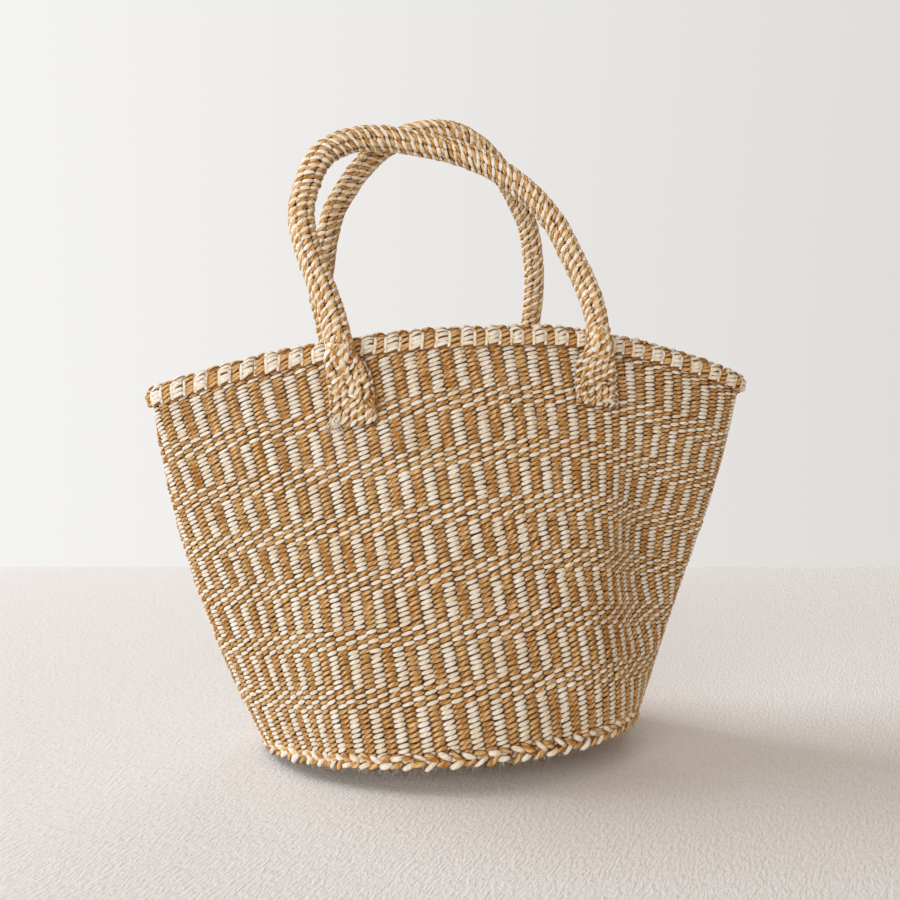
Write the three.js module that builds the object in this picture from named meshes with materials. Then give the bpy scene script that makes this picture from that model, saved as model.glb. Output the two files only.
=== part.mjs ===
// Sisal tote bag: a twined wall that rises from a domed round base to a flat, arched mouth,
// with a plaited base edge, a bound rim and two stiff rope handles sewn on by flat tabs.
// Millimetres, +Z up, front towards -Y. The origin is the middle of the underside.
import * as THREE from "three";
import { ConvexGeometry } from "three/addons/geometries/ConvexGeometry.js";

// Driving dimensions: clearance and fineness
const GAP = 0.3; // between pieces that touch
const COLUMNS = 76; // facets around the bag
const WALL_STEPS = 11; // facets up the wall
const SLEEVE_SIDES = 12;
const CORE_SIDES = 8;
const ROPE_STEPS = 30;

// Driving dimensions: the base ring, where the wall turns under
const BASE_HALF_WIDTH = 123.5;
const BASE_HALF_DEPTH = 105.5;
const BASE_EXPONENT = 2; // 2 is an ellipse
const BASE_EDGE_HEIGHT = 9.5; // underside of the base edge above the ground, at the middle
const BASE_EDGE_ROLL = 0.045; // its rise to the right, per millimetre
const BASE_EDGE_PITCH = 0.06; // its rise to the front, per millimetre

// Driving dimensions: the mouth, at the top of the rim
const MOUTH_HALF_WIDTH = 198.5;
const MOUTH_HALF_DEPTH = 45.5;
const MOUTH_EXPONENT = 1.6; // under 2 draws the two ends to a fold
const MOUTH_SHIFT = 6; // the mouth sits right of the base
const RIM_HEIGHT = 269.3; // at the peak of its arch
const RIM_PEAK = 50; // the peak is right of the middle of the mouth
const RIM_DROP_LEFT = 39; // the ends of the mouth droop
const RIM_DROP_RIGHT = 29;
const RIM_CURVE_LEFT = 2.2; // exponents of the arch on either side of its peak
const RIM_CURVE_RIGHT = 1.5;

// Driving dimensions: the wall between them
const WALL_THICKNESS = 5;
const BELLY_WIDTH = 10; // how far the sides swell past a straight slope
const BELLY_LEFT_EXTRA = 1;
const BELLY_DEPTH = 10;

// Driving dimensions: the pinch that folds the right-hand end flat beside the round body
const PINCH_SHARE = 0.6; // of the depth that is pressed out of the end
const PINCH_START = 102; // right of the middle
const PINCH_SOFTNESS = 10;
const PINCH_RISE = 0.42; // where it is deepest, as a share of the wall's height
const PINCH_SPREAD = 0.25;

// Driving dimensions: base edge plait and base panel
const PLAIT_HEIGHT = 8.5;
const PLAIT_WIDTH = 8;
const PLAIT_PROUD = 1.6; // stands outside the wall
const PANEL_THICKNESS = 4.5;
const PANEL_LIFT = 2; // panel edge above the underside of the plait
const PANEL_DOME = 16; // depth of the dome before the ground flattens it
const PANEL_RINGS = [0.2, 0.4, 0.55, 0.7, 0.85, 1];

// Driving dimensions: rim cord and rim binding
const RIM_CORD_RADIUS = 2.2;
const BINDING_THICKNESS = 2.6;
const BINDING_CROWN = 2.2; // over the rim cord
const BINDING_HEIGHT = 10.2;
const BINDING_SHOULDER = 2.4; // depth at which its rounded top meets its sides

// Driving dimensions: handles. A route goes from the left root to the right one as [x, height
// above the peak of the rim]. It lies in a plane that leans in from the line through both roots.
const FRONT_HANDLE = {
  side: -1, // the front is towards -Y
  leftRoot: -76.5, // the wall's place behind it
  rightRoot: 82,
  leftRadius: 8,
  rightRadius: 6.9,
  lean: 16,
  route: [
    [-83, 8], [-90, 29], [-97, 50], [-99.5, 70], [-96, 88], [-86, 108], [-70, 118], [-49, 121],
    [-23, 118], [2, 113], [27, 102], [48, 85], [62, 67], [71, 46], [79, 26], [83, 8],
  ],
};
const BACK_HANDLE = {
  side: 1,
  leftRoot: -72.5,
  rightRoot: 65.5,
  leftRadius: 7.3,
  rightRadius: 6.3,
  lean: 16,
  route: [
    [-79, 10], [-83, 26], [-82, 42], [-79, 65], [-75, 81], [-67, 95], [-55, 111], [-36, 126],
    [-16, 132.5], [4, 132.5], [21, 125], [35, 113], [47, 97], [59, 76], [65, 53], [67, 33], [66.5, 11],
  ],
};
const ROOT_DEPTH = 5; // roots below the top of the rim
const HANDLE_CORE_RADIUS = 3.1;
const KNUCKLE_ANGLES = [60, 30]; // degrees of the rounded root that are past the hinge line

// Driving dimensions: tabs, the flat ends by which the handles are sewn on. Each is centred
// a little aside from the root above it.
const TAB_THICKNESS = 3.6;
const TAB_COLUMNS = 4;
const TAB_ROWS = 5;
const TABS = {
  front_left_tab: { handle: FRONT_HANDLE, end: "left", aside: 7.5, width: 29, length: 38 },
  front_right_tab: { handle: FRONT_HANDLE, end: "right", aside: -2.5, width: 30, length: 34 },
  back_left_tab: { handle: BACK_HANDLE, end: "left", aside: 3, width: 29, length: 36 },
  back_right_tab: { handle: BACK_HANDLE, end: "right", aside: 2, width: 29, length: 34 },
};

// Driving dimensions: knots that end the sewing, placed on a tab by shares of its width and length
const KNOTS = {
  front_left_cream_knot: { tab: "front_left_tab", across: 0.14, down: 0.9, radii: [4.2, 3, 4.6], cream: true },
  front_left_tan_knot: { tab: "front_left_tab", across: 0.88, down: 0.7, radii: [3.6, 2.8, 3.6], cream: false },
  front_right_cream_knot: { tab: "front_right_tab", across: 0.78, down: 0.88, radii: [3.4, 2.6, 4], cream: true },
};

const TAU = 2 * Math.PI;
const mix = (a, b, share) => a + (b - a) * share;
const radians = (degrees) => (degrees * Math.PI) / 180;
const power = (value, exponent) => Math.sign(value) * Math.abs(value) ** exponent;

// The bag's outer surface. The angle runs round the outline: 0 at the right-hand end,
// a quarter turn at the back, half a turn at the left-hand end. Rise goes from 0 to 1.

// The height of the underside of the base edge at a place on the ground plan.
function edgeHeight(x, y) {
  return BASE_EDGE_HEIGHT + BASE_EDGE_ROLL * x - BASE_EDGE_PITCH * y;
}

// The height of the top of the rim at an angle.
function rimHeight(angle) {
  const x = MOUTH_HALF_WIDTH * power(Math.cos(angle), 2 / MOUTH_EXPONENT);
  const left = Math.max(0, RIM_PEAK - x) / (MOUTH_HALF_WIDTH + RIM_PEAK);
  const right = Math.max(0, x - RIM_PEAK) / (MOUTH_HALF_WIDTH - RIM_PEAK);
  return RIM_HEIGHT - RIM_DROP_LEFT * left ** RIM_CURVE_LEFT - RIM_DROP_RIGHT * right ** RIM_CURVE_RIGHT;
}

// The share of the depth that the pinch takes away.
function pinch(x, rise) {
  const across = 1 / (1 + Math.exp((PINCH_START - x) / PINCH_SOFTNESS));
  return PINCH_SHARE * across * Math.exp(-(((rise - PINCH_RISE) / PINCH_SPREAD) ** 2));
}

// A point of the outline at a rise, seen from above.
function outlinePoint(angle, rise) {
  const swell = 4 * rise * (1 - rise);
  const c = Math.cos(angle);
  const belly = BELLY_WIDTH - BELLY_LEFT_EXTRA * c;
  const halfWidth = mix(BASE_HALF_WIDTH, MOUTH_HALF_WIDTH, rise) + swell * belly;
  const halfDepth = mix(BASE_HALF_DEPTH, MOUTH_HALF_DEPTH, rise) + swell * BELLY_DEPTH;
  const exponent = mix(BASE_EXPONENT, MOUTH_EXPONENT, rise);
  const x = halfWidth * power(c, 2 / exponent) + MOUTH_SHIFT * rise;
  const y = halfDepth * power(Math.sin(angle), 2 / exponent);
  return new THREE.Vector2(x, y * (1 - pinch(x, rise)));
}

// A point on the outer surface, moved outwards across the wall by a distance.
function surfacePoint(angle, rise, outwards = 0) {
  const step = 0.01;
  const plan = outlinePoint(angle, rise);
  const along = outlinePoint(angle + step, rise).sub(outlinePoint(angle - step, rise)).normalize();
  const z = mix(edgeHeight(plan.x, plan.y), rimHeight(angle), rise);
  // Near the folded ends an inner face stays on its own side of the fold.
  const depth = Math.abs(plan.y) + Math.sign(plan.y) * -along.x * outwards;
  const kept = Math.max(depth, Math.abs(plan.y) / 4);
  return new THREE.Vector3(plan.x + along.y * outwards, Math.sign(plan.y) * kept, z);
}

// Angles that divide the outline at one rise into equal lengths, starting at the left-hand end.
const TABLE_ANGLES = 720;
const TABLE_RISES = 24;
const lengthTables = Array.from({ length: TABLE_RISES + 1 }, (_, row) => {
  const rise = row / TABLE_RISES;
  const lengths = [0];
  let before = surfacePoint(-Math.PI, rise);
  for (let i = 1; i <= TABLE_ANGLES; i++) {
    const here = surfacePoint(-Math.PI + (TAU * i) / TABLE_ANGLES, rise);
    lengths.push(lengths[i - 1] + Math.hypot(here.x - before.x, here.y - before.y));
    before = here;
  }
  return lengths;
});

function angleFromTable(lengths, share) {
  const wanted = share * lengths[TABLE_ANGLES];
  let i = 1;
  while (i < TABLE_ANGLES && lengths[i] < wanted) i++;
  const part = (wanted - lengths[i - 1]) / (lengths[i] - lengths[i - 1]);
  return -Math.PI + (TAU * (i - 1 + part)) / TABLE_ANGLES;
}

// The angle at a share of the way round, at a rise.
function angleAt(share, rise) {
  const row = Math.min(rise * TABLE_RISES, TABLE_RISES - 1e-9);
  const low = Math.floor(row);
  const one = angleFromTable(lengthTables[low], share);
  const two = angleFromTable(lengthTables[low + 1], share);
  return mix(one, two, row - low);
}

// The height between base edge and rim at an angle, which turns millimetres into rise.
function span(angle) {
  const foot = surfacePoint(angle, 0);
  return rimHeight(angle) - foot.z;
}

// A ring of points round the bag at a height above the base edge, moved outwards.
function footRing(height, outwards) {
  return levelRing(outwards, (share) => height / span(angleAt(share, 0)));
}

// A ring of points at a depth below the top of the rim, moved outwards.
function rimRing(depth, outwards) {
  return levelRing(outwards, (share) => 1 - depth / span(angleAt(share, 1)));
}

// A ring at a share of the way up the wall, from the plait to just under the rim cord.
function wallRing(share, outwards) {
  return levelRing(outwards, (round) => {
    const foot = (PLAIT_HEIGHT + GAP) / span(angleAt(round, 0));
    const head = 1 - WALL_TOP / span(angleAt(round, 1));
    return mix(foot, head, share);
  });
}

function levelRing(outwards, riseAt) {
  return Array.from({ length: COLUMNS }, (_, column) => {
    const rise = riseAt(column / COLUMNS);
    return surfacePoint(angleAt(column / COLUMNS, rise), rise, outwards);
  });
}

// Solids

// A closed solid through rings that have the same number of points. A looped one joins its last
// ring to its first; another one is closed by a fan at each end.
function loft(rings, looped) {
  const size = rings[0].length;
  const points = rings.flat();
  const faces = [];
  const last = looped ? rings.length : rings.length - 1;
  for (let i = 0; i < last; i++) {
    const here = i * size;
    const next = ((i + 1) % rings.length) * size;
    for (let j = 0; j < size; j++) {
      const k = (j + 1) % size;
      faces.push([here + j, next + j, next + k], [here + j, next + k, here + k]);
    }
  }
  if (!looped) {
    const ends = [[0, false], [(rings.length - 1) * size, true]];
    for (const [start, turned] of ends) {
      const centre = points.length;
      const ring = rings[start / size];
      points.push(ring.reduce((sum, p) => sum.addScaledVector(p, 1 / size), new THREE.Vector3()));
      for (let j = 0; j < size; j++) {
        const a = start + j;
        const b = start + ((j + 1) % size);
        faces.push(turned ? [b, a, centre] : [a, b, centre]);
      }
    }
  }
  return facedOut(points, faces);
}

// A closed solid between an outer and an inner face, both given as rows of points.
function sheet(outer, inner) {
  const rows = outer.length;
  const size = outer[0].length;
  const at = (row, j) => row * size + j;
  const under = (row, j) => (rows + row) * size + j;
  const faces = [];
  const quad = (a, b, c, d) => faces.push([a, b, c], [a, c, d]);
  for (let i = 0; i < rows - 1; i++) {
    for (let j = 0; j < size - 1; j++) {
      quad(at(i, j), at(i + 1, j), at(i + 1, j + 1), at(i, j + 1));
      quad(under(i, j), under(i, j + 1), under(i + 1, j + 1), under(i + 1, j));
    }
    quad(at(i, 0), under(i, 0), under(i + 1, 0), at(i + 1, 0));
    quad(at(i, size - 1), at(i + 1, size - 1), under(i + 1, size - 1), under(i, size - 1));
  }
  for (let j = 0; j < size - 1; j++) {
    quad(at(0, j), at(0, j + 1), under(0, j + 1), under(0, j));
    quad(at(rows - 1, j), under(rows - 1, j), under(rows - 1, j + 1), at(rows - 1, j + 1));
  }
  return facedOut([...outer.flat(), ...inner.flat()], faces);
}

// A geometry whose faces point out of the solid.
function facedOut(points, faces) {
  const cross = new THREE.Vector3();
  let volume = 0;
  for (const [a, b, c] of faces) volume += points[a].dot(cross.crossVectors(points[b], points[c]));
  const index = faces.flatMap(([a, b, c]) => (volume < 0 ? [a, c, b] : [a, b, c]));
  const geometry = new THREE.BufferGeometry().setFromPoints(points);
  geometry.setIndex(index);
  geometry.computeVertexNormals();
  return geometry;
}

// Finishes of the dyed and undyed fibre
const tan = () => new THREE.MeshStandardMaterial({ color: 0xb98a4e, roughness: 0.85, metalness: 0 });
const cream = () => new THREE.MeshStandardMaterial({ color: 0xe6dcc6, roughness: 0.85, metalness: 0 });
const mixed = () => new THREE.MeshStandardMaterial({ color: 0xcfb083, roughness: 0.85, metalness: 0 });
const cordFibre = () => new THREE.MeshStandardMaterial({ color: 0xd9c7a0, roughness: 0.9, metalness: 0 });

const bag = new THREE.Group();
bag.name = "sisal_tote_bag";

function addPiece(name, geometry, material) {
  const mesh = new THREE.Mesh(geometry, material);
  mesh.name = name;
  bag.add(mesh);
  return mesh;
}

// Body: wall, base edge plait, base panel, rim cord and rim binding

const WALL_TOP = BINDING_CROWN + 2 * GAP + 2 * RIM_CORD_RADIUS; // below the top of the rim

// The front (-1) or the back (1) of the wall. They meet along the folds at the two ends.
function wall(side) {
  const first = side < 0 ? 0 : COLUMNS / 2;
  const toFold = (end, beside) => end.lerp(beside, GAP / 2 / Math.abs(beside.y));
  const face = (outwards) =>
    Array.from({ length: WALL_STEPS + 1 }, (_, i) => {
      const ring = wallRing(i / WALL_STEPS, outwards);
      const row = Array.from({ length: COLUMNS / 2 + 1 }, (_, j) => ring[(first + j) % COLUMNS].clone());
      toFold(row[0], row[1]);
      toFold(row[COLUMNS / 2], row[COLUMNS / 2 - 1]);
      return row;
    });
  return sheet(face(0), face(-WALL_THICKNESS));
}

// The plait lies under the wall's edge, as a rounded band.
function baseEdgePlait() {
  const outer = PLAIT_PROUD;
  const inner = PLAIT_PROUD - PLAIT_WIDTH;
  const section = [
    [inner, 1], [inner + 1.5, 0], [outer - 2, 0], [outer, 2.2],
    [outer, PLAIT_HEIGHT - 2.2], [outer - 2, PLAIT_HEIGHT], [inner, PLAIT_HEIGHT],
  ];
  return loft(section.map(([outwards, height]) => footRing(height, outwards)), true);
}

// The panel fills the plait. It sags into a dome that the ground presses flat.
function basePanel() {
  const inner = PLAIT_PROUD - PLAIT_WIDTH - GAP;
  const level = (share, thickness) =>
    footRing(PANEL_LIFT + thickness, inner).map((p) => {
      const x = p.x * share;
      const y = p.y * share;
      const sagged = edgeHeight(x, y) + PANEL_LIFT - PANEL_DOME * (1 - share * share);
      return new THREE.Vector3(x, y, Math.max(0, sagged) + thickness);
    });
  const above = PANEL_RINGS.map((share) => level(share, PANEL_THICKNESS));
  const below = PANEL_RINGS.map((share) => level(share, 0)).reverse();
  return loft([...above, ...below], false);
}

// The cord lies along the wall's top edge, inside the binding.
function rimCord() {
  const sides = 6;
  const middle = -WALL_THICKNESS / 2;
  const level = WALL_TOP - GAP - RIM_CORD_RADIUS;
  const section = Array.from({ length: sides }, (_, i) => [
    middle + RIM_CORD_RADIUS * Math.cos((TAU * i) / sides),
    level + RIM_CORD_RADIUS * Math.sin((TAU * i) / sides),
  ]);
  return loft(section.map(([outwards, depth]) => rimRing(depth, outwards)), true);
}

// The binding is folded over the cord and the wall's top edge.
function rimBinding() {
  const inside = GAP;
  const outside = GAP + BINDING_THICKNESS;
  const far = -WALL_THICKNESS;
  const section = [
    [outside, BINDING_HEIGHT], [outside, BINDING_SHOULDER], [outside - 1.8, 0.6], [far / 2, 0],
    [far - outside + 1.8, 0.6], [far - outside, BINDING_SHOULDER], [far - outside, BINDING_HEIGHT],
    [far - inside, BINDING_HEIGHT], [far - inside, BINDING_CROWN],
    [inside, BINDING_CROWN], [inside, BINDING_HEIGHT],
  ];
  return loft(section.map(([outwards, depth]) => rimRing(depth, outwards)), true);
}

addPiece("front_wall", wall(-1), mixed());
addPiece("back_wall", wall(1), mixed());
addPiece("base_edge_plait", baseEdgePlait(), mixed());
addPiece("base_panel", basePanel(), mixed());
addPiece("rim_cord", rimCord(), cordFibre());
addPiece("rim_binding", rimBinding(), cream());

// Handles

const BINDING_FACE = GAP + BINDING_THICKNESS; // outside the wall

// The angle at which the outline at a rise passes an x, on the front (-1) or the back (1).
function angleOver(x, rise, side) {
  let from = 0;
  let to = Math.PI;
  for (let step = 0; step < 40; step++) {
    const half = (from + to) / 2;
    if (surfacePoint(side * half, rise).x > x) from = half;
    else to = half;
  }
  return side * from;
}

// The place on the wall at an x and a height, moved outwards by a distance.
function wallPlace(x, height, side, outwards) {
  let low = 0;
  let high = 1;
  for (let step = 0; step < 40; step++) {
    const half = (low + high) / 2;
    if (surfacePoint(angleOver(x, half, side), half).z > height) high = half;
    else low = half;
  }
  return surfacePoint(angleOver(x, low, side), low, outwards);
}

// Where a handle's leg ends: the centre of its root, seated against the binding, and its radius.
function rootOf(handle, end) {
  const x = end === "left" ? handle.leftRoot : handle.rightRoot;
  const radius = end === "left" ? handle.leftRadius : handle.rightRadius;
  const lean = radians(handle.lean);
  const rim = rimHeight(angleOver(x, 1, handle.side));
  const outwards = BINDING_FACE + GAP + radius / Math.cos(lean);
  const at = wallPlace(x, rim - BINDING_SHOULDER, handle.side, outwards);
  at.y += handle.side * (ROOT_DEPTH - BINDING_SHOULDER) * Math.tan(lean);
  return { at: at.setZ(rim - ROOT_DEPTH), radius };
}

// The handle's centre line as places with direction and radius, and the direction square to its plane.
function handleLine(handle) {
  const left = rootOf(handle, "left");
  const right = rootOf(handle, "right");
  const hinge = right.at.clone().sub(left.at);
  const lean = new THREE.Vector3(0, -handle.side * Math.tan(radians(handle.lean)), 1);
  const inPlane = ([x, height]) => {
    const below = left.at.clone().addScaledVector(hinge, (x - left.at.x) / hinge.x);
    return below.clone().addScaledVector(lean, RIM_HEIGHT + height - below.z);
  };
  const points = [left.at, ...handle.route.map(inPlane), right.at];
  const curve = new THREE.CatmullRomCurve3(points, false, "centripetal");
  const stations = [];
  for (let i = 0; i <= ROPE_STEPS; i++) {
    const share = i / ROPE_STEPS;
    stations.push({
      at: curve.getPointAt(share),
      along: curve.getTangentAt(share),
      radius: mix(left.radius, right.radius, share),
    });
  }
  const ends = [knuckle(stations[0], -1), knuckle(stations[ROPE_STEPS], 1)];
  const across = new THREE.Vector3().crossVectors(hinge, lean).normalize();
  return { stations: [...ends[0], ...stations, ...ends[1]], across };
}

// Stations past an end, where the root is rounded about its hinge line.
function knuckle({ at, along, radius }, sign) {
  const angles = sign < 0 ? KNUCKLE_ANGLES : [...KNUCKLE_ANGLES].reverse();
  return angles.map((angle) => ({
    at: at.clone().addScaledVector(along, sign * radius * Math.sin(radians(angle))),
    along,
    radius: radius * Math.cos(radians(angle)),
  }));
}

function ropeRing({ at, along }, across, radius, sides) {
  const beside = new THREE.Vector3().crossVectors(along, across);
  return Array.from({ length: sides }, (_, i) => {
    const turn = (TAU * i) / sides;
    return at.clone()
      .addScaledVector(across, radius * Math.cos(turn))
      .addScaledVector(beside, radius * Math.sin(turn));
  });
}

// The woven sleeve is a tube with a rounded root at each end.
function handleSleeve({ stations, across }) {
  const bore = HANDLE_CORE_RADIUS + GAP;
  const outer = stations.map((station) => ropeRing(station, across, station.radius, SLEEVE_SIDES));
  const inner = stations.map((station) => ropeRing(station, across, bore, SLEEVE_SIDES));
  return loft([...outer, ...inner.reverse()], true);
}

function handleCore({ stations, across }) {
  return loft(stations.map((station) => ropeRing(station, across, HANDLE_CORE_RADIUS, CORE_SIDES)), false);
}

for (const [name, handle] of [["front", FRONT_HANDLE], ["back", BACK_HANDLE]]) {
  const line = handleLine(handle);
  addPiece(`${name}_handle_sleeve`, handleSleeve(line), mixed());
  addPiece(`${name}_handle_core`, handleCore(line), cordFibre());
}

// Tabs: curved patches that lie on the wall, under the binding and the roots

// The depth of a tab's top edge below the top of the rim.
function tabTop({ handle, end }) {
  return Math.max(ROOT_DEPTH + rootOf(handle, end).radius, BINDING_HEIGHT) + GAP;
}

// A place on a tab, by its shares across and down, moved outwards from the tab's back.
function tabPlace(sizes, across, down, outwards) {
  const { side } = sizes.handle;
  const x = rootOf(sizes.handle, sizes.end).at.x + sizes.aside + (across - 0.5) * sizes.width;
  const depth = tabTop(sizes) + down * sizes.length;
  return wallPlace(x, rimHeight(angleOver(x, 1, side)) - depth, side, GAP + outwards);
}

function tab(sizes) {
  const row = (down) => {
    const face = (outwards) =>
      Array.from({ length: TAB_COLUMNS + 1 }, (_, i) => tabPlace(sizes, i / TAB_COLUMNS, down, outwards));
    return [...face(TAB_THICKNESS), ...face(0).reverse()];
  };
  return loft(Array.from({ length: TAB_ROWS + 1 }, (_, i) => row(i / TAB_ROWS)), false);
}

for (const [name, sizes] of Object.entries(TABS)) addPiece(name, tab(sizes), mixed());

// Knots, each a small lump of tied strand on its tab
for (const [name, knot] of Object.entries(KNOTS)) {
  const sizes = TABS[knot.tab];
  const [wide, deep, tall] = knot.radii;
  const seat = tabPlace(sizes, knot.across, knot.down, TAB_THICKNESS + GAP + deep);
  const lump = [];
  for (const latitude of [-60, -20, 20, 60]) {
    for (let turn = 0; turn < 360; turn += 45) {
      const level = Math.cos(radians(latitude));
      lump.push(new THREE.Vector3(
        wide * level * Math.cos(radians(turn + latitude)),
        deep * level * Math.sin(radians(turn + latitude)),
        tall * Math.sin(radians(latitude)),
      ));
    }
  }
  const piece = addPiece(name, new ConvexGeometry(lump), knot.cream ? cream() : tan());
  piece.position.copy(seat);
}

// The origin goes to the middle of the underside of the whole bag.
const box = new THREE.Box3().setFromObject(bag, true);
const middle = box.getCenter(new THREE.Vector3());
for (const piece of bag.children) piece.position.add(new THREE.Vector3(-middle.x, -middle.y, -box.min.z));

export default bag;
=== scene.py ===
"""Sisal tote bag: two-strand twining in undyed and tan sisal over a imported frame.

Every strand is a real tube. Those of the wall, base, handles and tabs pass over one warp on the
outside and over the next one on the inside, as the twiner's two strands do.
"""
import math

import bpy
import numpy as np
from bpy.props import FloatProperty, FloatVectorProperty, IntProperty, PointerProperty
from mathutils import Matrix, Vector


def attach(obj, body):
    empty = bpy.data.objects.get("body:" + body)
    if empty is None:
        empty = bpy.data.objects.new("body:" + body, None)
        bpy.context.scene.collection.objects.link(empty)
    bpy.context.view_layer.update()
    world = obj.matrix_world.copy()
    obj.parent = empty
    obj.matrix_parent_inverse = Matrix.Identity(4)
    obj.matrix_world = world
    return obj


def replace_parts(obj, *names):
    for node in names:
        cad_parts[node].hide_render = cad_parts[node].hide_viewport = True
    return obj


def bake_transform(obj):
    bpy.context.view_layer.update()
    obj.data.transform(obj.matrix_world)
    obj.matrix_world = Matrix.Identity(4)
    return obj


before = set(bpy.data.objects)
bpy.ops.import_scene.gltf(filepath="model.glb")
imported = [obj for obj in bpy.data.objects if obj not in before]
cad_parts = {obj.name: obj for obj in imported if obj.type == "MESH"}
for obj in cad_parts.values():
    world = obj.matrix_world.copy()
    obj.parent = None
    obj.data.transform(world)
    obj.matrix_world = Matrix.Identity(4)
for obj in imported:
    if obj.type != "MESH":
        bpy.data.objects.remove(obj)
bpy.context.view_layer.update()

bl_info = {
    "name": "Sisal tote bag",
    "version": (1, 0, 0),
    "blender": (4, 5, 0),
    "location": "View3D > Sidebar > Sisal bag",
    "description": "Twines, plaits and binds a sisal tote bag over its frame",
    "category": "Add Mesh",
}

MM = 0.001


def linear(code):
    """A colour written as sRGB hex, as the linear values that Blender works with."""
    parts = [int(code[i : i + 2], 16) / 255 for i in (1, 3, 5)]
    return tuple(p / 12.92 if p <= 0.04045 else ((p + 0.055) / 1.055) ** 2.4 for p in parts)


# ---------- sizes and colours that a user would change


def length(name, description, default):
    """A length in millimetres."""
    return FloatProperty(name=name, description=description, default=default, min=0, precision=2)


def colour(name, description, code):
    """A colour from sRGB hex."""
    return FloatVectorProperty(
        name=name, description=description, default=linear(code), size=3, subtype="COLOR",
        min=0, max=1,
    )


class SisalColours(bpy.types.PropertyGroup):
    undyed_light: colour("Undyed, light", "Bleached face of undyed sisal", "#FFFCF4")
    undyed_dark: colour("Undyed, dark", "Straw tone of undyed sisal", "#E8D4B0")
    # The deep tones are painted shade, with some of the less bleached fibre that a strand hides
    # where it dives. Dives, flanks and hidden warps take them.
    undyed_painted_shade: colour("Undyed, deep", "Undyed sisal where it dives between warps", "#702C04")
    tan_light: colour("Tan, light", "Worn face of tan sisal", "#FAD49A")
    tan_dark: colour("Tan, dark", "Body of tan sisal", "#BC7A30")
    # Painted shade in tan, as for the undyed strand.
    tan_painted_shade: colour("Tan, deep", "Tan sisal where it dives between warps", "#561E00")


class TwiningSizes(bpy.types.PropertyGroup):
    strand_reach: length("Reach", "How far a strand swings either side of the warps, mm", 1.25)
    strand_thickness: length("Thickness", "Half the strand's thickness over a warp, mm", 1.05)
    strand_height: FloatProperty(
        name="Height", description="Half the strand's height over a warp, in rows",
        default=0.53, min=0.1,
    )
    slant: FloatProperty(
        name="Slant", description="Half the rise of a stitch, in rows", default=0.35, min=-1, max=1
    )
    seed: IntProperty(
        name="Seed", description="Start of the hand's irregularities", default=11, min=0
    )


class StudioSettings(bpy.types.PropertyGroup):
    floor: colour("Floor", "Pale cloth on the table", "#F1F2F5")
    wall_lit: colour("Wall, lit side", "Pale wall on the window side", "#F5F4F2")
    wall_far: colour("Wall, far side", "Pale wall away from the window", "#DEDBD8")


# ---------- the bag's surface, in millimetres, on the same dimensions as the frame

WARPS = 110  # ends that the twining passes round
SHIFT = (-5.893, -0.004, 0.0)  # from the middle of the base ring to the frame's origin
BASE_HALF_WIDTH, BASE_HALF_DEPTH = 123.5, 105.5
MOUTH_HALF_WIDTH, MOUTH_HALF_DEPTH, MOUTH_EXPONENT, MOUTH_SHIFT = 198.5, 45.5, 1.6, 6.0
WALL_THICKNESS, WALL_SWELL = 5.0, 10.0  # the swell is how far the wall bellies out half-way up
RIM_HEIGHT, RIM_PEAK = 269.3, 50.0  # the rim's highest point, and its x
RIM_DROPS = ((39, 2.2), (29, 1.5))  # the drop to the left-hand end and its power, then to the right
EDGE_HEIGHT, EDGE_TILT = 9.5, (0.045, -0.06)  # the edge's underside, its rise along x and y
# The pinch at the right end: its share of the depth, the x where it starts and how softly, and the
# rise of its middle and how far it runs up and down.
PINCH, PINCH_START, PINCH_BLUR, PINCH_RISE, PINCH_SPAN = 0.6, 102, 10, 0.42, 0.25
# In warps: how far the layout is turned, how far a warp leans from base to rim, and how many crowd
# at the lower left, over what span.
WARP_START, WARP_LEAN, WARP_CROWD, CROWD_SPAN = -0.35, 5.4, 2.7, 6.5
ROW_TOP, ROW_STEP, ROW_GROWTH = 0.94036, 0.01057, 8.3155e-6  # rises: row 0, the step, its growth
HIDDEN_FROM, HIDDEN_ROOM = 0.96, 0.025  # rises: where the binding hides rows, and what they share


def power(value, exponent):
    """A power that keeps the sign."""
    return np.sign(value) * np.abs(value) ** exponent


def between(grid, column, row):
    """Reads a grid between its entries; a column past the last one is the first again."""
    rows, columns = grid.shape[:2]
    row = np.clip(row, 0, rows - 1 - 1e-6)
    i0, j0 = np.floor(column).astype(int) % columns, row.astype(int)
    i1 = (i0 + 1) % columns
    fi, fj = column - np.floor(column), row - j0
    if grid.ndim == 3:
        fi, fj = fi[..., None], fj[..., None]
    low = grid[j0, i0] * (1 - fi) + grid[j0, i1] * fi
    high = grid[j0 + 1, i0] * (1 - fi) + grid[j0 + 1, i1] * fi
    return low * (1 - fj) + high * fj


def unit(vectors):
    """Vectors along the last axis, brought to length 1."""
    return vectors / np.maximum(np.linalg.norm(vectors, axis=-1, keepdims=True), 1e-9)


def rim_height(angle):
    """The height of the top of the rim at an angle; 0 is the right-hand end, -pi the left one."""
    x = MOUTH_HALF_WIDTH * power(np.cos(angle), 2 / MOUTH_EXPONENT)
    left = np.maximum(0, RIM_PEAK - x) / (MOUTH_HALF_WIDTH + RIM_PEAK)
    right = np.maximum(0, x - RIM_PEAK) / (MOUTH_HALF_WIDTH - RIM_PEAK)
    (left_drop, left_power), (right_drop, right_power) = RIM_DROPS
    return RIM_HEIGHT - left_drop * left**left_power - right_drop * right**right_power


def edge_height(x, y):
    """The height of the underside of the base edge at a place on the ground plan."""
    return EDGE_HEIGHT + EDGE_TILT[0] * x + EDGE_TILT[1] * y


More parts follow.
